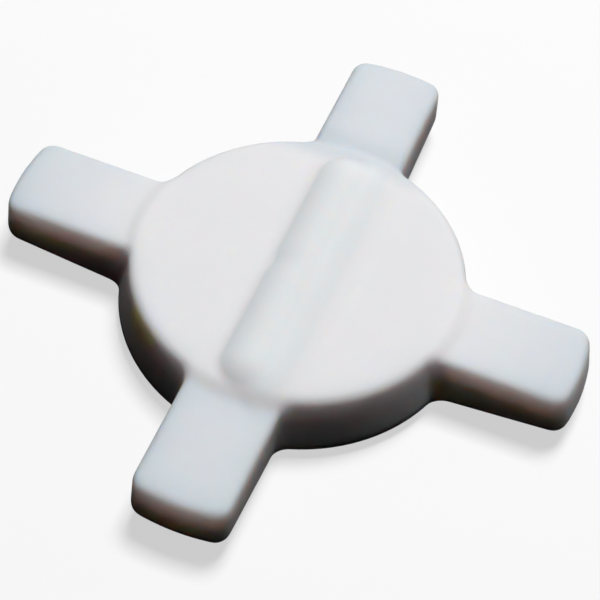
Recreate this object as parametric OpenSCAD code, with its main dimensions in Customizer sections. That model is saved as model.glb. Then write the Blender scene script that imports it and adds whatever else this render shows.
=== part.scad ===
// Magnetic stir bar: a flat disc with four paddle arms, moulded in one piece round a bar magnet.
// The disc stands on the XY plane, the arms point along X and Y, and the magnet lies along Y.

/* [Disc] */
// Diameter of the disc, measured at its top rim
disc_d = 27.5; // [25:0.5:32]
// Thickness of the disc
disc_t = 6.3; // [5.8:0.1:8]
// How much wider the foot of the disc is than its top rim, on each side
disc_flare = 0.8; // [0.3:0.1:1.2]
// Rounding of the disc's top and bottom rim
rim_r = 1.4; // [1:0.1:1.8]

/* [Arms] */
// Distance from the tip of one arm to the tip of the opposite one
span = 50; // [46:0.5:65]
// Width of an arm
arm_w = 8.2; // [7:0.1:10]
// How far the top of an arm lies below the top of the disc
arm_step = 0.7; // [0.4:0.1:1.1]
// How far the underside of an arm rises from its root to its tip
tip_lift = 1.2; // [0.6:0.1:1.6]
// How far the middle of a tip stands out past its corners
tip_bow = 0.5; // [0.3:0.1:1]
// Rounding of the upper and lower edges of an arm
arm_edge_r = 1.1; // [0.8:0.1:1.5]
// Rounding of a tip's two upright corners
tip_corner_r = 1.3; // [1:0.1:2]
// Hollow rounding between the side of an arm and the wall of the disc
root_r = 1.8; // [1.4:0.1:2.6]
// Hollow rounding of the step from the top of an arm up to the disc
cove_r = 1.6; // [1.3:0.1:2.2]

/* [Magnet] */
// Diameter of the bar magnet
magnet_d = 5; // [4:0.1:5.4]
// Length of the bar magnet
magnet_l = 20; // [16:0.5:21]
// Place of the magnet's middle along Y: it lies a little nearer to one arm
magnet_y = -0.5; // [-1.5:0.1:1.5]
// Bevel round each end of the magnet
magnet_bevel = 0.4; // [0.2:0.1:0.8]
// Room between the magnet and the plastic moulded round it
magnet_room = 0.05; // [0.02:0.01:0.1]

/* [Ridge] */
// Thickness of the plastic over the side of the magnet
ridge_wall = 0.7; // [0.5:0.1:1]
// Height of the ridge above the top of the disc
ridge_h = 1; // [0.7:0.1:1.4]
// How far the ridge keeps its full height past each end of the magnet
ridge_over = 0.5; // [0.3:0.1:1]

/* [Hidden] */
$fn = 64;

white = [0.93, 0.94, 0.95];
steel_grey = [0.45, 0.46, 0.48];

disc_r = disc_d / 2;
half_span = span / 2;
half_w = arm_w / 2;
arm_t = disc_t - arm_step;
arm_angles = [0:90:270];

// An upright corner is always at least this much rounder than the edges that run into it.
corner_extra = 0.1;
corner_r = max(tip_corner_r, arm_edge_r + corner_extra);

// Roundings meet the faces beside them at this small angle, so each one has a clear edge.
blend_angle = 8;

// A tip is part of a circle through its middle and its two corners.
tip_r = (half_w * half_w + tip_bow * tip_bow) / (2 * tip_bow);

// Axis of the upright corner of a tip, and the direction to it from the middle of the tip's circle.
corner_y = half_w - corner_r;
corner_angle = asin(corner_y / (tip_r - corner_r));
function corner_x(tip) = tip - tip_r + (tip_r - corner_r) * cos(corner_angle);

// Axis of the hollow rounding between an arm and the disc.
root_off = root_r * cos(blend_angle);
root_y = half_w + root_off;
root_x = sqrt(pow(disc_r + root_off, 2) - pow(root_y, 2));

// The underside starts to rise where that rounding ends.
lift_angle = atan(tip_lift / (half_span - root_x));

// The paddle that shapes the lower edges is this much fatter than the one for the upper edges.
fat = arm_edge_r / cos(blend_angle) - arm_edge_r;

// The lower one is tilted, so its tip leans back by this much between the lower and upper edge.
tip_lean = (arm_t - tip_lift - 2 * arm_edge_r) * sin(lift_angle);
lower_tip = root_x + (half_span + tip_lean - root_x) / cos(lift_angle);

// Pieces of the moulding reach this far into each other.
bite = 1;

// Middle of the rim's rounding, and middle of the cove's hollow that runs out on the arm.
rim_at = [disc_r - rim_r, disc_t - rim_r];
cove_z = arm_t + cove_r * cos(blend_angle);
cove_gap = sqrt(pow(rim_r, 2) + pow(cove_r, 2) + 2 * rim_r * cove_r * cos(blend_angle));
cove_at = [rim_at[0] + sqrt(pow(cove_gap, 2) - pow(cove_z - rim_at[1], 2)), cove_z];

// The side edges of an arm climb through the cove at this angle.
ramp_angle = 35;

ridge_r = magnet_d / 2 + magnet_room + ridge_wall;
ridge_half = magnet_l / 2 + ridge_over;
magnet_z = disc_t + ridge_h - ridge_r;

// Section of the disc from its axis to its leaning wall.
module disc_section() {
    lean = atan(disc_flare / (disc_t - 2 * rim_r));
    foot_at = [disc_r + disc_flare - rim_r, rim_r];
    out = rim_r * [cos(lean), sin(lean)];
    polygon([
        [0, 0],
        [foot_at[0], 0],
        foot_at,
        foot_at + out,
        rim_at + out,
        rim_at,
        [rim_at[0], disc_t],
        [0, disc_t]
    ]);
    translate(foot_at) circle(rim_r);
    translate(rim_at) circle(rim_r);
}

module disc() {
    rotate_extrude() disc_section();
}

// Section of a bar with its two upper edges rounded.
module bar_section(half, height, r) {
    translate([-half, 0]) square([2 * half, height - r]);
    translate([r - half, 0]) square([2 * (half - r), height]);
    for (side = [-1, 1]) translate([side * (half - r), height - r]) circle(r);
}

// Section of a wall that stands the given reach from x = 0, its upper edge rounded.
module edge_section(reach, height, r) {
    square([reach, height - r]);
    square([reach - r, height]);
    intersection() {
        translate([reach - r, height - r]) circle(r);
        square([reach, height]);
    }
}

// What is cut away round an upright corner: the block outside a post with a rounded top.
// The post is a little fatter than the corner, so it crosses the arm's side at the small angle.
module corner_cut(height, r, skin) {
    out = 2 * corner_r;
    difference() {
        translate([0, 0, -bite]) linear_extrude(height + 2 * bite) polygon([
            [0, 0],
            [out, out * tan(corner_angle)],
            [out, out],
            [0, out]
        ]);
        rotate_extrude() edge_section(corner_r / cos(blend_angle) + skin, height, r);
    }
}

// Paddle along X from inside the disc to a bowed tip, its upper edges rounded.
// It stands out from the arm's own outline by the given skin.
module paddle(tip, height, r, skin) {
    difference() {
        intersection() {
            translate([disc_r / 2, 0, 0]) rotate([90, 0, 90]) linear_extrude(half_span)
                bar_section(half_w + skin, height, r);
            translate([tip - tip_r, 0, 0]) rotate_extrude()
                edge_section(tip_r + skin, height, r);
        }
        for (side = [0, 1]) mirror([0, side, 0])
            translate([corner_x(tip), corner_y, 0]) corner_cut(height, r, skin);
    }
}

// The paddle turned over and tilted: it rounds the lower edges and lifts the tip.
module underside_paddle() {
    tall = 2 * disc_t;
    r = arm_edge_r + fat;
    tip = lower_tip + r * tan(lift_angle) - fat;
    translate([root_x, 0, 0]) rotate([0, -lift_angle, 0]) translate([-root_x, 0, tall])
        mirror([0, 0, 1]) paddle(tip, tall, r, fat);
}

// Section of the plastic between the rim's rounding and the hollow of the cove.
module cove_section() {
    low = arm_t / 2;
    difference() {
        polygon([rim_at, cove_at, [cove_at[0], low], [rim_at[0], low]]);
        translate(cove_at) circle(cove_r);
    }
}

// Bar with rounded upper edges that climbs from the top of an arm toward the disc.
module cove_ramp() {
    foot_x = sqrt(pow(cove_at[0], 2) - pow(half_w - arm_edge_r, 2));
    translate([foot_x, 0, arm_t]) rotate([0, ramp_angle, 0]) translate([-disc_r, 0, -arm_t])
        rotate([90, 0, 90]) linear_extrude(disc_r + arm_t) bar_section(half_w, arm_t, arm_edge_r);
}

module cove() {
    intersection() {
        rotate_extrude() cove_section();
        cove_ramp();
    }
}

// Section of the upright hollow: it flares over its top and under its bottom like an arm's edges.
module root_section() {
    wide = root_r + arm_edge_r;
    difference() {
        translate([0, -bite]) square([wide, arm_t + 2 * bite]);
        translate([root_r, arm_edge_r]) square([wide, arm_t - 2 * arm_edge_r]);
        translate([wide, arm_edge_r]) circle(arm_edge_r);
        translate([wide, arm_t - arm_edge_r]) circle(arm_edge_r);
    }
}

// Plastic that fills the corner between an arm and the disc, down to an upright hollow.
module root() {
    inward = (disc_r - bite) / (disc_r + root_off);
    difference() {
        linear_extrude(arm_t) polygon([
            [root_x, root_y],
            [root_x, half_w - bite],
            [root_x * inward, half_w - bite],
            [root_x, root_y] * inward
        ]);
        translate([root_x, root_y, 0]) rotate_extrude() root_section();
    }
}

module arm() {
    intersection() {
        paddle(half_span, arm_t, arm_edge_r, 0);
        underside_paddle();
    }
    cove();
    for (side = [0, 1]) mirror([0, side, 0]) root();
}

// Round-ended bar that covers the magnet and shows as a ridge on top of the disc.
module ridge() {
    translate([0, magnet_y, magnet_z]) {
        rotate([90, 0, 0]) cylinder(h = 2 * ridge_half, r = ridge_r, center = true);
        for (side = [-1, 1]) translate([0, side * ridge_half, 0]) sphere(ridge_r);
    }
}

// The magnet's shape, grown by the given room on every side.
module magnet_shape(room) {
    r = magnet_d / 2 + room;
    half_l = magnet_l / 2 + room;
    translate([0, magnet_y, magnet_z]) rotate([90, 0, 0]) rotate_extrude() polygon([
        [0, -half_l],
        [r - magnet_bevel, -half_l],
        [r, magnet_bevel - half_l],
        [r, half_l - magnet_bevel],
        [r - magnet_bevel, half_l],
        [0, half_l]
    ]);
}

module moulded_body() {
    color(white) difference() {
        union() {
            disc();
            for (turn = arm_angles) rotate([0, 0, turn]) arm();
            ridge();
        }
        magnet_shape(magnet_room);
    }
}

module bar_magnet() {
    color(steel_grey) magnet_shape(0);
}

moulded_body();
bar_magnet();
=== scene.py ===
# %% [markdown]
# # A magnetic stir bar in white fluoroplastic
#
# The part is one white moulding: a flat disc with four paddle arms, and a rounded ridge across
# its top that covers a bar magnet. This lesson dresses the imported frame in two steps. First
# comes a smooth moulding, made by Geometry Nodes from one formula, and then a ground finish for
# the magnet that is sealed inside it.

import math

import bpy
from mathutils import Matrix, Vector


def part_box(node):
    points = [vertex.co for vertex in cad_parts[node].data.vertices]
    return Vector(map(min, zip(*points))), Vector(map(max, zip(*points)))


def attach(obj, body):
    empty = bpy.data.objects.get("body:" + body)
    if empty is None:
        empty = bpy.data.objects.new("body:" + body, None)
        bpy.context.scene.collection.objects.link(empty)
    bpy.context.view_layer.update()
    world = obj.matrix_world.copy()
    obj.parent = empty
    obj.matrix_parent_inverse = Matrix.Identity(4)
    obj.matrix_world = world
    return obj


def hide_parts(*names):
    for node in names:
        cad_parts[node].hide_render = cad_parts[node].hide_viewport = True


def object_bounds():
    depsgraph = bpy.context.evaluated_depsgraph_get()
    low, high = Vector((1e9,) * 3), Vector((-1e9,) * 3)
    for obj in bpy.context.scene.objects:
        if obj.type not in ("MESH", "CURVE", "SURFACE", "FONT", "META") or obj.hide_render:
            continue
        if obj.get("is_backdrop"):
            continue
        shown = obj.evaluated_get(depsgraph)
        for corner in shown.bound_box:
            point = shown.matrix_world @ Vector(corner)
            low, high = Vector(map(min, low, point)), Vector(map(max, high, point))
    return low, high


MM = 0.001

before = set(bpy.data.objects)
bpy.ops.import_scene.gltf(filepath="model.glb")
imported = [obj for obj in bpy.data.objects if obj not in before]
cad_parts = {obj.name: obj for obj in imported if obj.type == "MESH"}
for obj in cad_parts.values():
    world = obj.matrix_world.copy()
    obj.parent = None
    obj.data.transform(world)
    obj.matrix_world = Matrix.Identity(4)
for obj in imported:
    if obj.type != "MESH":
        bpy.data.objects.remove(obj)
cad_bounds = [list(corner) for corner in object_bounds()]
body_low, body_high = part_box("moulded_body")
print("frame:", sorted(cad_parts), "box", [round(v / MM, 2) for v in body_high - body_low])

# %% [markdown]
# ## Sizes of the disc
#
# Blender works in metres, so all sizes are given as so many times a millimetre. The span and the
# height come from the frame. The disc's wall flares toward the foot, which lets the part slip
# out of its mould, and both edges are rounded so that nothing scrapes the glass.

# %% Disc
half_span = body_high.x
ridge_top = body_high.z
disc_radius = 13.75 * MM
disc_thick = 6.15 * MM
disc_flare = 0.8 * MM
rim_round = 0.8 * MM
foot_round = 1.2 * MM
foot_radius = disc_radius + disc_flare
print("disc %.1f mm across, foot %.1f mm" % (2 * disc_radius / MM, 2 * foot_radius / MM))

# %% [markdown]
# ## Sizes of the arms
#
# The arms are a little lower than the disc, and the top runs down to them in an S-curve. Their
# undersides rise toward the tips, from a small gap past the disc's edge, so the bar turns on its
# disc and not on its arms. The tips are bowed, and they lean back as they rise. The one on the
# right leans back further than the rest.

# %% Arms
arm_half = 4.1 * MM
arm_step = 0.6 * MM
arm_edge = 0.55 * MM
side_draft = 0.1 * MM
tip_draft = 0.2 * MM
right_tip_draft = 0.68 * MM
tip_lift = 1.25 * MM
tip_bow = 0.5 * MM
tip_corner = 1.05 * MM
root_round = 0.9 * MM
step_reach = 1.75 * MM
lift_gap = 0.6 * MM

tip_radius = (arm_half**2 + tip_bow**2) / (2 * tip_bow)
lift_start = disc_radius + lift_gap
lift_slope = tip_lift / (half_span - lift_start)
print("tip radius %.1f mm, underside slope %.3f" % (tip_radius / MM, lift_slope))

# %% [markdown]
# ## Sizes of the ridge
#
# The ridge is the upper part of a round bar of plastic over the magnet, with round ends. It
# meets the disc in a crisp crease on the left and in a wide hollow on the right. Near the middle
# its left flank has a slight dip, as thick plastic often has where it shrank while cooling.

# %% Ridge
ridge_radius = 3.2 * MM
ridge_half = 10.45 * MM
ridge_place = Vector((0.18, -0.48, 0.0)) * MM
left_crease = 0.12 * MM
right_crease = 2.0 * MM
dip_place = -0.75 * MM
dip_reach = 1.6 * MM
dip_depth = 0.13 * MM
print("ridge %.1f mm long, %.2f mm above the disc"
      % (2 * (ridge_half + ridge_radius) / MM, (ridge_top - disc_thick) / MM))

# %% [markdown]
# ## A formula as a node tree
#
# A smooth moulding with hollow roundings is hard to draw face by face, and easy to write as a
# distance: a rule that gives, for any point, how far it is outside the plastic. Geometry Nodes
# can work such a rule out at every point of a grid. So that the rule reads as a formula, this
# small class turns plus, minus and times into Math nodes.


# %% A number that changes from point to point
def feed(tree, value, socket):
    """Link a changing value to the socket, or set a plain one on it."""
    if isinstance(value, Field):
        tree.links.new(value.socket, socket)
    else:
        socket.default_value = value


class Field:
    """A value that a node tree works out at each point."""

    def __init__(self, tree, socket):
        self.tree = tree
        self.socket = socket

    def math(self, operation, *others):
        made = self.tree.nodes.new("ShaderNodeMath")
        made.operation = operation
        for place, value in enumerate((self, *others)):
            feed(self.tree, value, made.inputs[place])
        return Field(self.tree, made.outputs[0])

    def __add__(self, other):
        return self.math("ADD", other)

    def __sub__(self, other):
        return self.math("SUBTRACT", other)

    def __mul__(self, other):
        return self.math("MULTIPLY", other)

    def __neg__(self):
        return self.math("MULTIPLY", -1.0)

    def __rsub__(self, other):
        return -self + other


# %% [markdown]
# The rule also needs the larger and the smaller of two values, a size without its sign, a
# length, and two ways to go from 0 to 1: along a straight line and along an S-curve.


# %% Small functions for the rule
def larger(a, b):
    return a.math("MAXIMUM", b)


def smaller(a, b):
    return a.math("MINIMUM", b)


def size(a):
    return a.math("ABSOLUTE")


def length(a, b):
    return (a * a + b * b).math("SQRT")


def mapped(a, start, end, curve):
    made = a.tree.nodes.new("ShaderNodeMapRange")
    made.interpolation_type = curve
    for name, value in (("Value", a), ("From Min", start), ("From Max", end)):
        feed(a.tree, value, made.inputs[name])
    return Field(a.tree, made.outputs["Result"])


def ease_line(a, start, end):
    """0 below start, 1 above end, and a straight line between them."""
    return mapped(a, start, end, "LINEAR")


def ease(a, start, end):
    """0 below start, 1 above end, and an S-curve between them."""
    return mapped(a, start, end, "SMOOTHERSTEP")


# %% [markdown]
# Two walls that meet on an outer edge or in an inner corner are joined by two short rules. The
# first rounds an outer edge like a turned bead, the second fills an inner corner like a cove.


# %% Rounded edge and rounded corner
def rounded_edge(a, b, radius):
    """Inside both a and b, with the edge where they meet rounded."""
    out_a, out_b = a + radius, b + radius
    beyond = length(larger(out_a, 0.0), larger(out_b, 0.0))
    return beyond + smaller(larger(out_a, out_b), 0.0) - radius


def rounded_corner(a, b, radius):
    """Inside a or b, with the corner where they meet filled."""
    in_a, in_b = radius - a, radius - b
    within = length(larger(in_a, 0.0), larger(in_b, 0.0))
    return larger(smaller(a, b), radius) - within


# %% [markdown]
# ## The plan of the moulding
#
# Seen from above, a round disc is joined to four arms, with an upright hollow in each corner
# between them. All walls lean in as they rise: the disc's by its flare, the arms' by their
# draft. One rule serves the four arms, because it looks along the longer of the two distances.
#
# Straight out from a leaning wall it's a little less far than level out from it, and LEAN is
# that share. The right arm's lean grows along the arm and is complete TIP_ZONE before its end.

# %% Rule for the plan
LEAN = 0.985
TIP_ZONE = 4.0 * MM


def plan_rule(x, y, z, dims):
    wall_top = dims["Disc Thickness"] - dims["Rim Rounding"]
    height_share = ease_line(z, dims["Foot Rounding"], wall_top)
    wall = dims["Disc Radius"] + dims["Disc Flare"] * (1.0 - height_share)
    disc_plan = (length(x, y) - wall) * LEAN

    along, across = larger(size(x), size(y)), smaller(size(x), size(y))
    on_right = ease_line(x, dims["Disc Radius"], dims["Half Span"] - TIP_ZONE)
    tip_lean = dims["Tip Draft"] + (dims["Right Tip Draft"] - dims["Tip Draft"]) * on_right
    tip_centre = dims["Half Span"] - dims["Tip Radius"]
    to_tip = length(along - tip_centre, across) - dims["Tip Radius"] + tip_lean * height_share
    to_side = across - dims["Arm Half Width"] + dims["Side Draft"] * height_share
    arm_plan = rounded_edge(to_side, to_tip, dims["Tip Corner"])
    return rounded_corner(disc_plan, arm_plan, dims["Root Rounding"])


# %% [markdown]
# ## Top, underside and edges
#
# The top steps down only where it runs out on an arm, and keeps the disc's height in the hollows
# beside it. The underside is flat below the disc and rises along each arm. Plan, top and
# underside are then joined by one rounded edge, whose radius differs from place to place: one
# for the arms, one for the rim, and one for the foot.
#
# A hollow begins just inside the arm's side and ends well outside it. The foot's radius gives
# way to the upper one between two shares of the disc's thickness.

# %% Rule for disc and arms
HOLLOW_INSIDE = 0.3 * MM
HOLLOW_OUTSIDE = 1.8 * MM
FOOT_ENDS, RIM_BEGINS = 0.4, 0.6


def disc_and_arms_rule(x, y, z, dims):
    along, across = larger(size(x), size(y)), smaller(size(x), size(y))
    from_axis = length(x, y)
    arm_side = dims["Arm Half Width"]
    beside = ease(across, arm_side - HOLLOW_INSIDE, arm_side + HOLLOW_OUTSIDE)
    rim_start = dims["Disc Radius"] - dims["Rim Rounding"]

    lowered = ease(from_axis, rim_start, rim_start + dims["Step Reach"]) * (1.0 - beside)
    top = dims["Disc Thickness"] - dims["Arm Step"] * lowered
    underside = larger((along - dims["Lift Start"]) * dims["Lift Slope"], 0.0)
    above_or_below = larger(z - top, underside - z)

    on_disc = 1.0 - ease_line(from_axis, rim_start, dims["Disc Radius"] + dims["Disc Flare"])
    rim_share = larger(on_disc, beside)
    upper = dims["Arm Edge"] + (dims["Rim Rounding"] - dims["Arm Edge"]) * rim_share
    thick = dims["Disc Thickness"]
    foot_share = 1.0 - ease_line(z, thick * FOOT_ENDS, thick * RIM_BEGINS)
    edge = upper + (dims["Foot Rounding"] - upper) * foot_share
    return rounded_edge(plan_rule(x, y, z, dims), above_or_below, edge)


# %% [markdown]
# ## The ridge and its creases
#
# The ridge is the distance to a round bar that lies along Y, with the dip taken out of its left
# flank. Only the upper part of the bar counts, from halfway up the disc, so that it leaves the
# flat underside alone. It is joined to the disc by a rounded corner that widens from the left
# crease to the right one. Both changes from left to right lie between two distances from the
# ridge's middle line.

# %% Rule for the whole moulding
BAR_BEGINS = 0.5
FLANK_FADE = (-0.4 * MM, 1.2 * MM)
CREASE_FADE = (-0.3 * MM, 2.6 * MM)


def ridge_rule(x, y, z, dims):
    past_end = larger(size(y - dims["Ridge Y"]) - dims["Ridge Half Length"], 0.0)
    height = z - (dims["Ridge Top"] - dims["Ridge Radius"])
    bar = length(length(x - dims["Ridge X"], past_end), height) - dims["Ridge Radius"]
    left = 1.0 - ease(x, dims["Ridge X"] + FLANK_FADE[0], dims["Ridge X"] + FLANK_FADE[1])
    near_dip = 1.0 - ease(size(y - dims["Dip Y"]), 0.0, dims["Dip Reach"])
    dipped = bar + near_dip * left * dims["Dip Depth"]
    return larger(dipped, dims["Disc Thickness"] * BAR_BEGINS - z)


def moulding_rule(x, y, z, dims):
    rightness = ease(x, dims["Ridge X"] + CREASE_FADE[0], dims["Ridge X"] + CREASE_FADE[1])
    crease = dims["Left Crease"] + (dims["Right Crease"] - dims["Left Crease"]) * rightness
    body = disc_and_arms_rule(x, y, z, dims)
    return rounded_corner(body, ridge_rule(x, y, z, dims), crease)


# %% [markdown]
# ## From the rule to a mesh
#
# Volume Cube works the rule out on a grid of small cells, and Volume to Mesh lays a skin where
# the distance is zero. A light blur of the points takes the last trace of the grid away. The
# sizes are named inputs of the tree, and the modifier that runs it sets them.

# %% Named inputs
CELL = 0.2 * MM
BODY_SIZES = {
    "Half Span": half_span,
    "Disc Radius": disc_radius,
    "Disc Thickness": disc_thick,
    "Disc Flare": disc_flare,
    "Rim Rounding": rim_round,
    "Foot Rounding": foot_round,
    "Arm Half Width": arm_half,
    "Arm Edge": arm_edge,
    "Side Draft": side_draft,
    "Tip Draft": tip_draft,
    "Right Tip Draft": right_tip_draft,
    "Arm Step": arm_step,
    "Tip Radius": tip_radius,
    "Tip Corner": tip_corner,
    "Lift Start": lift_start,
    "Lift Slope": lift_slope,
    "Root Rounding": root_round,
    "Step Reach": step_reach,
    "Ridge X": ridge_place.x,
    "Ridge Y": ridge_place.y,
    "Ridge Top": ridge_top,
    "Ridge Radius": ridge_radius,
    "Ridge Half Length": ridge_half,
    "Left Crease": left_crease,
    "Right Crease": right_crease,
    "Dip Y": dip_place,
    "Dip Reach": dip_reach,
    "Dip Depth": dip_depth,
}
print(len(BODY_SIZES), "named sizes, cells of %.1f mm" % (CELL / MM))

# %% [markdown]
# The tree is built in two parts. The first makes the grid and fills it from the rule, with a
# margin of a few cells round the part so that the skin closes.

# %% Grid filled from the rule
MARGIN_CELLS = 5


def filled_grid(tree):
    inputs = tree.nodes.new("NodeGroupInput")
    dims = {name: Field(tree, inputs.outputs[name]) for name in BODY_SIZES}
    place = tree.nodes.new("ShaderNodeSeparateXYZ")
    tree.links.new(tree.nodes.new("GeometryNodeInputPosition").outputs[0], place.inputs[0])
    x, y, z = (Field(tree, place.outputs[axis]) for axis in "XYZ")
    inside = -moulding_rule(x, y, z, dims)

    margin = Vector((MARGIN_CELLS * CELL,) * 3)
    low, high = body_low - margin, body_high + margin
    cube = tree.nodes.new("GeometryNodeVolumeCube")
    tree.links.new(inside.socket, cube.inputs["Density"])
    cube.inputs["Background"].default_value = -MARGIN_CELLS * CELL
    cube.inputs["Min"].default_value = low
    cube.inputs["Max"].default_value = high
    for axis, extent in zip("XYZ", high - low):
        cube.inputs["Resolution " + axis].default_value = round(extent / CELL)
    return cube.outputs[0]


# %% [markdown]
# The second part lays the skin, blurs it, shades it smooth and gives it its material.

# %% Skin on the grid
BLUR_STEPS = 2


def moulding_tree(material):
    tree = bpy.data.node_groups.new("moulding_from_rule", "GeometryNodeTree")
    tree.interface.new_socket("Geometry", in_out="OUTPUT", socket_type="NodeSocketGeometry")
    for name, value in BODY_SIZES.items():
        made = tree.interface.new_socket(name, in_out="INPUT", socket_type="NodeSocketFloat")
        made.default_value = value

    skin = tree.nodes.new("GeometryNodeVolumeToMesh")
    skin.resolution_mode = "GRID"
    skin.inputs["Threshold"].default_value = 0.0
    blur = tree.nodes.new("GeometryNodeBlurAttribute")
    blur.data_type = "FLOAT_VECTOR"
    blur.inputs["Iterations"].default_value = BLUR_STEPS
    to_blur = next(i for i in blur.inputs if i.name == "Value" and i.enabled)
    blurred = next(o for o in blur.outputs if o.enabled)
    move = tree.nodes.new("GeometryNodeSetPosition")
    smooth = tree.nodes.new("GeometryNodeSetShadeSmooth")
    realize = tree.nodes.new("GeometryNodeRealizeInstances")
    finish = tree.nodes.new("GeometryNodeSetMaterial")
    finish.inputs["Material"].default_value = material
    output = tree.nodes.new("NodeGroupOutput")

    tree.links.new(filled_grid(tree), skin.inputs["Volume"])
    tree.links.new(skin.outputs[0], move.inputs["Geometry"])
    tree.links.new(tree.nodes.new("GeometryNodeInputPosition").outputs[0], to_blur)
    tree.links.new(blurred, move.inputs["Position"])
    tree.links.new(move.outputs[0], smooth.inputs[0])
    tree.links.new(smooth.outputs[0], realize.inputs[0])
    tree.links.new(realize.outputs[0], finish.inputs["Geometry"])
    tree.links.new(finish.outputs[0], output.inputs[0])
    return tree


# %% [markdown]
# ## A surface that isn't quite even
#
# Neither finish is perfectly even: a moulded or ground surface has soft, cloudy patches and a
# fine grain. Both materials here need that, so it is made once as a node group. It gives a
# cloud value to tint with, a roughness that wanders between two ends, and a height for a bump.
# Noise seldom gets near 0 or 1, so the roughness uses all of its range between two values of
# the summed noise.

# %% Node group for an uneven surface
UNEVEN_INPUTS = {
    "Cloud Scale": 200.0,
    "Grain Scale": 4000.0,
    "Grain Share": 0.3,
    "Lowest Roughness": 0.4,
    "Highest Roughness": 0.6,
}
UNEVEN_OUTPUTS = ("Cloud", "Roughness", "Height")
CLOUD_DETAIL, GRAIN_DETAIL = 3.0, 2.0
CLOUD_WEIGHT, GRAIN_WEIGHT = 0.7, 0.3
LOWEST_SUM, HIGHEST_SUM = 0.35, 0.65


def uneven_surface_group():
    tree = bpy.data.node_groups.new("uneven_surface", "ShaderNodeTree")
    for name, value in UNEVEN_INPUTS.items():
        made = tree.interface.new_socket(name, in_out="INPUT", socket_type="NodeSocketFloat")
        made.default_value = value
    for name in UNEVEN_OUTPUTS:
        tree.interface.new_socket(name, in_out="OUTPUT", socket_type="NodeSocketFloat")
    inputs = tree.nodes.new("NodeGroupInput")
    given = {name: Field(tree, inputs.outputs[name]) for name in UNEVEN_INPUTS}
    where = tree.nodes.new("ShaderNodeTexCoord").outputs["Object"]

    def noise(scale, detail):
        made = tree.nodes.new("ShaderNodeTexNoise")
        tree.links.new(where, made.inputs["Vector"])
        feed(tree, scale, made.inputs["Scale"])
        made.inputs["Detail"].default_value = detail
        return Field(tree, made.outputs["Fac"])

    cloud = noise(given["Cloud Scale"], CLOUD_DETAIL)
    grain = noise(given["Grain Scale"], GRAIN_DETAIL)
    spread = ease_line(cloud * CLOUD_WEIGHT + grain * GRAIN_WEIGHT, LOWEST_SUM, HIGHEST_SUM)
    lowest, highest = given["Lowest Roughness"], given["Highest Roughness"]
    roughness = lowest + (highest - lowest) * spread
    height = cloud * (1.0 - given["Grain Share"]) + grain * given["Grain Share"]
    result = tree.nodes.new("NodeGroupOutput")
    for name, field in zip(UNEVEN_OUTPUTS, (cloud, roughness, height)):
        feed(tree, field, result.inputs[name])
    return tree


UNEVEN = uneven_surface_group()
print(UNEVEN.name, "with", len(UNEVEN.nodes), "nodes")

# %% [markdown]
# Three more helpers serve both materials: one puts the group into a material and sets its
# inputs, one blends two colours, and one turns a height into a bump. A Mix node has sockets for
# every kind of value, so the ones for colours are picked by their number.

# %% Helpers for both materials
MIX_SHARE, MIX_FIRST, MIX_SECOND = 0, 6, 7
MIX_RESULT = 2


def uneven(tree, **values):
    group = tree.nodes.new("ShaderNodeGroup")
    group.node_tree = UNEVEN
    for name, value in values.items():
        group.inputs[name.replace("_", " ").title()].default_value = value
    return {name: Field(tree, group.outputs[name]) for name in UNEVEN_OUTPUTS}


def blend(share, first, second):
    """The first colour where share is 0, the second where it is 1."""
    made = share.tree.nodes.new("ShaderNodeMix")
    made.data_type = "RGBA"
    for place, value in ((MIX_SHARE, share), (MIX_FIRST, first), (MIX_SECOND, second)):
        feed(share.tree, value, made.inputs[place])
    return Field(share.tree, made.outputs[MIX_RESULT])


def add_bump(height, distance, shader):
    made = height.tree.nodes.new("ShaderNodeBump")
    made.inputs["Distance"].default_value = distance
    feed(height.tree, height, made.inputs["Height"])
    height.tree.links.new(made.outputs[0], shader.inputs["Normal"])


# %% [markdown]
# ## White fluoroplastic
#
# The plastic is white because light wanders about inside it. Near an edge some of that light
# comes out on the shaded side, reddest where it has come furthest, so the walls glow brown just
# below the rim and go dark toward the floor. Subsurface scattering does exactly this, where a
# plain white paint would leave the walls flat grey.
#
# The thick disc looks a touch warmer than the thin arms and than the thin cover over the magnet.
# The ridge's left flank and the step at the far arm are a little greyer still. This is painted
# shade, where the flank faces away from the lamp and where the top steps down to the arm. The
# arms' walls are painted a little redder just below their top edge, as painted light where most
# of the light comes out. The colour follows the shape, so each tint starts and ends at a
# distance from the edge of the disc, from the top of the disc or of an arm, or from the middle
# of the ridge.

# %% Tints, painted shade and painted light of the plastic
WARM_WHITE = (0.87, 0.865, 0.885, 1.0)
ARM_WHITE = (0.765, 0.795, 0.835, 1.0)
# Painted shade on the step where the top runs down to the far arm.
STEP_PAINTED_SHADE = (0.69, 0.73, 0.775, 1.0)
RIDGE_WHITE = (0.82, 0.85, 0.87, 1.0)
# Painted shade on the ridge's left flank, which faces away from the lamp.
FLANK_PAINTED_SHADE = (0.74, 0.775, 0.80, 1.0)
# Painted light on the arms' walls just below their top edge, where the light in the plastic
# comes out.
WALL_PAINTED_LIGHT = (0.64, 0.72, 0.745, 1.0)

LONG_ARM_TINT = (-1.2 * MM, 1.6 * MM)
SIDE_ARM_TINT = (-0.5 * MM, 8.25 * MM)
ARM_TOP_TINT = (-4.2 * MM, -1.0 * MM)
RIDGE_TINT = (0.05 * MM, 0.45 * MM)
FLANK_SHADE_REACH = (-2.0 * MM, 1.3 * MM)
STEP_SHADE_RISE = (-3.4 * MM, -0.4 * MM)
STEP_SHADE_FALL = (0.0, 3.4 * MM)
WALL_LIGHT_RISE = (-2.6 * MM, -1.2 * MM)
WALL_LIGHT_FALL = (-0.45 * MM, -0.15 * MM)
WALL_LIGHT_START = (0.0, 2.0 * MM)


def past(a, origin, reach, rule=ease):
    """0 to 1 between two distances past the origin."""
    return rule(a, origin + reach[0], origin + reach[1])


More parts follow.
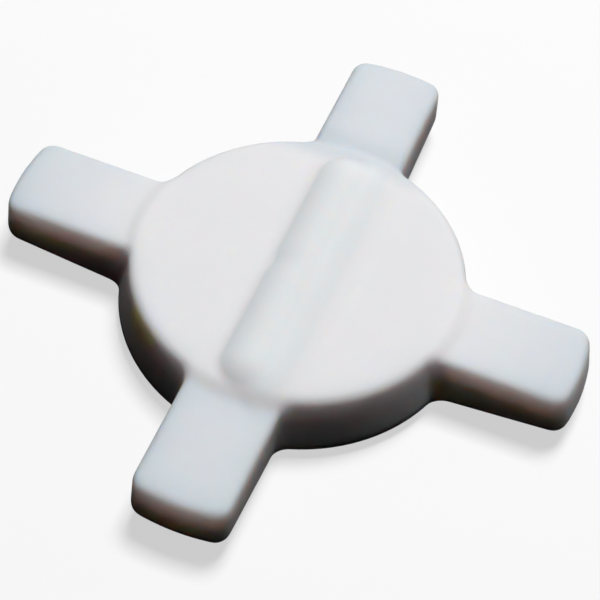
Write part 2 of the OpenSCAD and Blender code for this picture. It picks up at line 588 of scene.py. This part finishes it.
def between(a, origin, rise, fall):
    """1 between the rise and the fall, 0 on either side of them."""
    return past(a, origin, rise) * (1.0 - past(a, origin, fall))


# The plastic's own tints, with painted shade on the ridge's left flank and on the far step, and
# painted light on the arms' upper walls.
def plastic_colour_with_painted_light(x, y, z):
    arm_top = disc_thick - arm_step
    near_top = past(z, arm_top, ARM_TOP_TINT)
    on_arm = larger(past(size(y), disc_radius, LONG_ARM_TINT),
                    past(size(x), disc_radius, SIDE_ARM_TINT, ease_line))
    colour = blend(on_arm * near_top, WARM_WHITE, ARM_WHITE)

    # The ridge's left flank gets painted shade, fading out across the crest.
    on_shaded_flank = 1.0 - past(x, ridge_place.x, FLANK_SHADE_REACH)
    ridge_colour_with_flank_shade = blend(on_shaded_flank, RIDGE_WHITE, FLANK_PAINTED_SHADE)
    colour = blend(past(z, disc_thick, RIDGE_TINT), colour, ridge_colour_with_flank_shade)

    # A band of painted shade on the step down to the far arm, near the top only.
    on_step_shade = between(y, disc_radius, STEP_SHADE_RISE, STEP_SHADE_FALL)
    colour = blend(on_step_shade * near_top, colour, STEP_PAINTED_SHADE)

    # The arms' walls, away from the disc, get a band of painted light just below their top edge.
    on_lit_wall_band = between(z, arm_top, WALL_LIGHT_RISE, WALL_LIGHT_FALL)
    beyond_disc = past(larger(size(x), size(y)), disc_radius, WALL_LIGHT_START)
    return blend(on_lit_wall_band * beyond_disc, colour, WALL_PAINTED_LIGHT)


print("tints from", WARM_WHITE[:3], "to", WALL_PAINTED_LIGHT[:3])

# %% [markdown]
# The rest of the material is one shader. Red light travels further in it than green and blue,
# and the gloss is weak. The clouds change the shade by a few parts in a hundred, and the bump is
# so low that it only breaks the reflections.

# %% Plastic material
PLASTIC_IOR = 1.35
PLASTIC_GLOSS = 0.05
SCATTER_COLOUR = (1.0, 0.81, 0.80)
SCATTER_REACH = 4.0 * MM
CLOUD_SHADE = 0.05
PLASTIC_BUMP = 0.03 * MM


def plastic_material():
    material = bpy.data.materials.new("moulded_fluoroplastic")
    material.use_nodes = True
    tree = material.node_tree
    shader = tree.nodes["Principled BSDF"]
    shader.inputs["IOR"].default_value = PLASTIC_IOR
    shader.inputs["Specular IOR Level"].default_value = PLASTIC_GLOSS
    shader.subsurface_method = "RANDOM_WALK_SKIN"
    shader.inputs["Subsurface Weight"].default_value = 1.0
    shader.inputs["Subsurface Radius"].default_value = SCATTER_COLOUR
    shader.inputs["Subsurface Scale"].default_value = SCATTER_REACH

    parts = tree.nodes.new("ShaderNodeSeparateXYZ")
    tree.links.new(tree.nodes.new("ShaderNodeTexCoord").outputs["Object"], parts.inputs[0])
    x, y, z = (Field(tree, parts.outputs[axis]) for axis in "XYZ")
    surface = uneven(tree, cloud_scale=170.0, grain_scale=2600.0, grain_share=0.12,
                     lowest_roughness=0.48, highest_roughness=0.68)
    brightness = surface["Cloud"] * CLOUD_SHADE + (1.0 - CLOUD_SHADE / 2)
    shaded = tree.nodes.new("ShaderNodeVectorMath")
    shaded.operation = "SCALE"
    feed(tree, plastic_colour_with_painted_light(x, y, z), shaded.inputs[0])
    feed(tree, brightness, shaded.inputs["Scale"])
    tree.links.new(shaded.outputs[0], shader.inputs["Base Color"])
    feed(tree, surface["Roughness"], shader.inputs["Roughness"])
    add_bump(surface["Height"], PLASTIC_BUMP, shader)
    return material


PLASTIC = plastic_material()
print(PLASTIC.name, "with", len(PLASTIC.node_tree.nodes), "nodes")

# %% [markdown]
# ## The moulding
#
# The tree is put on an empty mesh as a modifier, its inputs are set, and the result is kept as a
# plain mesh. It stands in for the body of the frame and rides on the only body there is.


# %% Make the moulding
def plain_mesh_from(tree, name):
    holder = bpy.data.objects.new(name, bpy.data.meshes.new(name))
    bpy.context.scene.collection.objects.link(holder)
    modifier = holder.modifiers.new("rule", "NODES")
    modifier.node_group = tree
    for item in tree.interface.items_tree:
        if item.in_out == "INPUT":
            modifier[item.identifier] = BODY_SIZES[item.name]
    depsgraph = bpy.context.evaluated_depsgraph_get()
    mesh = bpy.data.meshes.new_from_object(holder.evaluated_get(depsgraph))
    holder.modifiers.remove(modifier)
    holder.data = mesh
    return holder


moulding = plain_mesh_from(moulding_tree(PLASTIC), "moulding")
for axis in range(3):
    places = [vertex.co[axis] / MM for vertex in moulding.data.vertices]
    print("XYZ"[axis], "from %.3f to %.3f mm" % (min(places), max(places)))
print("faces", len(moulding.data.polygons))
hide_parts("moulded_body")
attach(moulding, "root")

# %% [markdown]
# ## The sealed magnet
#
# The magnet is a ground rod with a bevel at each end, and the plastic closes round it. Its solid
# in the frame is right as it is, so it only gets a finish: grey metal with the fine rings that
# grinding leaves round a rod.

# %% Magnet finish
DARK_METAL = (0.44, 0.44, 0.45, 1.0)
LIGHT_METAL = (0.56, 0.55, 0.54, 1.0)
DARK_UP_TO, LIGHT_FROM = 0.3, 0.7
RING_SCALE = 900.0
RING_WOBBLE = 1.5
RING_SHARE = 0.4
METAL_BUMP = 0.01 * MM


def ground_metal():
    material = bpy.data.materials.new("ground_magnet_alloy")
    material.use_nodes = True
    tree = material.node_tree
    shader = tree.nodes["Principled BSDF"]
    shader.inputs["Metallic"].default_value = 1.0
    surface = uneven(tree, cloud_scale=300.0, grain_scale=5000.0, grain_share=0.5,
                     lowest_roughness=0.28, highest_roughness=0.45)
    colour = blend(ease(surface["Cloud"], DARK_UP_TO, LIGHT_FROM), DARK_METAL, LIGHT_METAL)
    feed(tree, colour, shader.inputs["Base Color"])
    feed(tree, surface["Roughness"], shader.inputs["Roughness"])

    rings = tree.nodes.new("ShaderNodeTexWave")
    rings.bands_direction = "Y"
    rings.inputs["Scale"].default_value = RING_SCALE
    rings.inputs["Distortion"].default_value = RING_WOBBLE
    where = tree.nodes.new("ShaderNodeTexCoord").outputs["Object"]
    tree.links.new(where, rings.inputs["Vector"])
    ring_height = Field(tree, rings.outputs["Fac"]) * RING_SHARE
    add_bump(surface["Height"] * (1.0 - RING_SHARE) + ring_height, METAL_BUMP, shader)
    return material


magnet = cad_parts["bar_magnet"]
magnet_finish = ground_metal()
for place in magnet.material_slots:
    place.material = magnet_finish
print("magnet finish on", len(magnet.material_slots), "slot")

# %% [markdown]
# ## The camera
#
# The camera looks down on the bar from the front, a little from the right, through a long lens.
# Its place is worked out from three angles in radians, and from a distance and a point to look
# at in disc radii, so it stays right if the bar changes size. The lens and the sensor are in
# millimetres of the camera.

# %% Camera
TURN, RISE, ROLL = 0.2890, 0.9047, 0.1138
DISTANCE = 12.7246
AIM = Vector((0.0087, 0.0869, 0.0))
SENSOR_WIDTH = 36.0
LENS = 125.619
NEAREST_SEEN = 10 * MM


def place_camera():
    flat = math.cos(RISE)
    back = Vector((math.sin(TURN) * flat, -math.cos(TURN) * flat, math.sin(RISE)))
    right = Vector((0, 0, 1)).cross(back).normalized()
    up = back.cross(right)
    rolled_right = math.cos(ROLL) * right + math.sin(ROLL) * up
    rolled_up = math.cos(ROLL) * up - math.sin(ROLL) * right
    camera = bpy.data.objects.new("camera", bpy.data.cameras.new("camera"))
    bpy.context.scene.collection.objects.link(camera)
    place = (AIM + back * DISTANCE) * disc_radius
    facing = Matrix((rolled_right, rolled_up, back)).transposed()
    camera.matrix_world = Matrix.Translation(place) @ facing.to_4x4()
    camera.data.sensor_width = SENSOR_WIDTH
    camera.data.lens = LENS
    camera.data.clip_start = NEAREST_SEEN
    bpy.context.scene.camera = camera
    return camera


camera = place_camera()
print("camera at", [round(v / MM, 1) for v in camera.location], "mm")

# %% [markdown]
# ## The floor
#
# The bar lies on white paper. The camera sees the paper as white with a soft shadow on it, and
# the bar itself gets no light from below, which keeps its walls dark at the foot. A Light Path
# node tells the two apart. The world needs the same answer, so the question is a function.


# %% Floor
def seen_directly(tree):
    """1 for light the camera sees straight, in a reflection or through the part."""
    path = tree.nodes.new("ShaderNodeLightPath")
    seen = Field(tree, path.outputs["Is Camera Ray"])
    for name in ("Is Glossy Ray", "Is Transmission Ray"):
        seen = larger(seen, Field(tree, path.outputs[name]))
    return seen


SHADOW_SHARE = 0.4
FLOOR_REACH = 1.0
FLOOR_GAP = 0.1 * MM
WHITE = (1.0, 1.0, 1.0, 1.0)
BLACK = (0.0, 0.0, 0.0, 1.0)


def floor_material():
    material = bpy.data.materials.new("white_floor")
    material.use_nodes = True
    tree = material.node_tree
    tree.nodes.clear()
    paper = tree.nodes.new("ShaderNodeBsdfDiffuse")
    paper.inputs["Color"].default_value = WHITE
    white = tree.nodes.new("ShaderNodeEmission")
    white.inputs["Color"].default_value = WHITE
    white.inputs["Strength"].default_value = 1.0
    dark = tree.nodes.new("ShaderNodeBsdfDiffuse")
    dark.inputs["Color"].default_value = BLACK
    shown = tree.nodes.new("ShaderNodeMixShader")
    shown.inputs["Fac"].default_value = SHADOW_SHARE
    both = tree.nodes.new("ShaderNodeMixShader")
    feed(tree, seen_directly(tree), both.inputs["Fac"])
    output = tree.nodes.new("ShaderNodeOutputMaterial")
    tree.links.new(white.outputs[0], shown.inputs[1])
    tree.links.new(paper.outputs[0], shown.inputs[2])
    tree.links.new(dark.outputs[0], both.inputs[1])
    tree.links.new(shown.outputs[0], both.inputs[2])
    tree.links.new(both.outputs[0], output.inputs["Surface"])
    return material


floor_mesh = bpy.data.meshes.new("floor")
signs = ((-1, -1), (1, -1), (1, 1), (-1, 1))
corners = [(x * FLOOR_REACH, y * FLOOR_REACH, 0.0) for x, y in signs]
floor_mesh.from_pydata(corners, [], [(0, 1, 2, 3)])
floor = bpy.data.objects.new("floor", floor_mesh)
bpy.context.scene.collection.objects.link(floor)
floor.location.z = -FLOOR_GAP
floor.data.materials.append(floor_material())
floor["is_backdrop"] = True
print("floor", 2 * FLOOR_REACH, "m wide")

# %% [markdown]
# ## The light
#
# A broad key lamp hangs high and a little behind the bar, so the tops are bright and the walls
# that face the camera are in shade. A weak lamp, low behind the bar on the right, lifts the
# walls on that side. Each lamp has a place in metres and a power in watts, and faces the bar.
# The world is white where it is seen and gives no light of its own.

# %% Lamps and world
LAMP_WIDTH = 0.16
LAMPS = {
    "key": ((0.018, 0.143, 0.479), 2.29),
    "side": ((0.36, 0.32, 0.13), 0.1),
}

for name, (place, watts) in LAMPS.items():
    light = bpy.data.lights.new(name, "AREA")
    light.size = LAMP_WIDTH
    light.energy = watts
    lamp = bpy.data.objects.new(name, light)
    bpy.context.scene.collection.objects.link(lamp)
    lamp.location = place
    lamp.rotation_euler = (-Vector(place)).to_track_quat("-Z", "Y").to_euler()

world = bpy.data.worlds.new("studio")
world.use_nodes = True
backdrop = blend(seen_directly(world.node_tree), BLACK, WHITE)
feed(world.node_tree, backdrop, world.node_tree.nodes["Background"].inputs["Color"])
bpy.context.scene.world = world
bpy.context.scene.view_settings.view_transform = "Standard"
print("lamps:", {name: watts for name, (place, watts) in LAMPS.items()})

# %% [markdown]
# ## Both boxes
#
# Last, the box of the frame and the box of the finished scene are written down side by side.

# %% Write down both boxes
seen_bounds = [list(corner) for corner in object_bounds()]
for name, box in (("frame", cad_bounds), ("scene", seen_bounds)):
    print(name, "box in mm:", [[round(v / MM, 3) for v in corner] for corner in box])
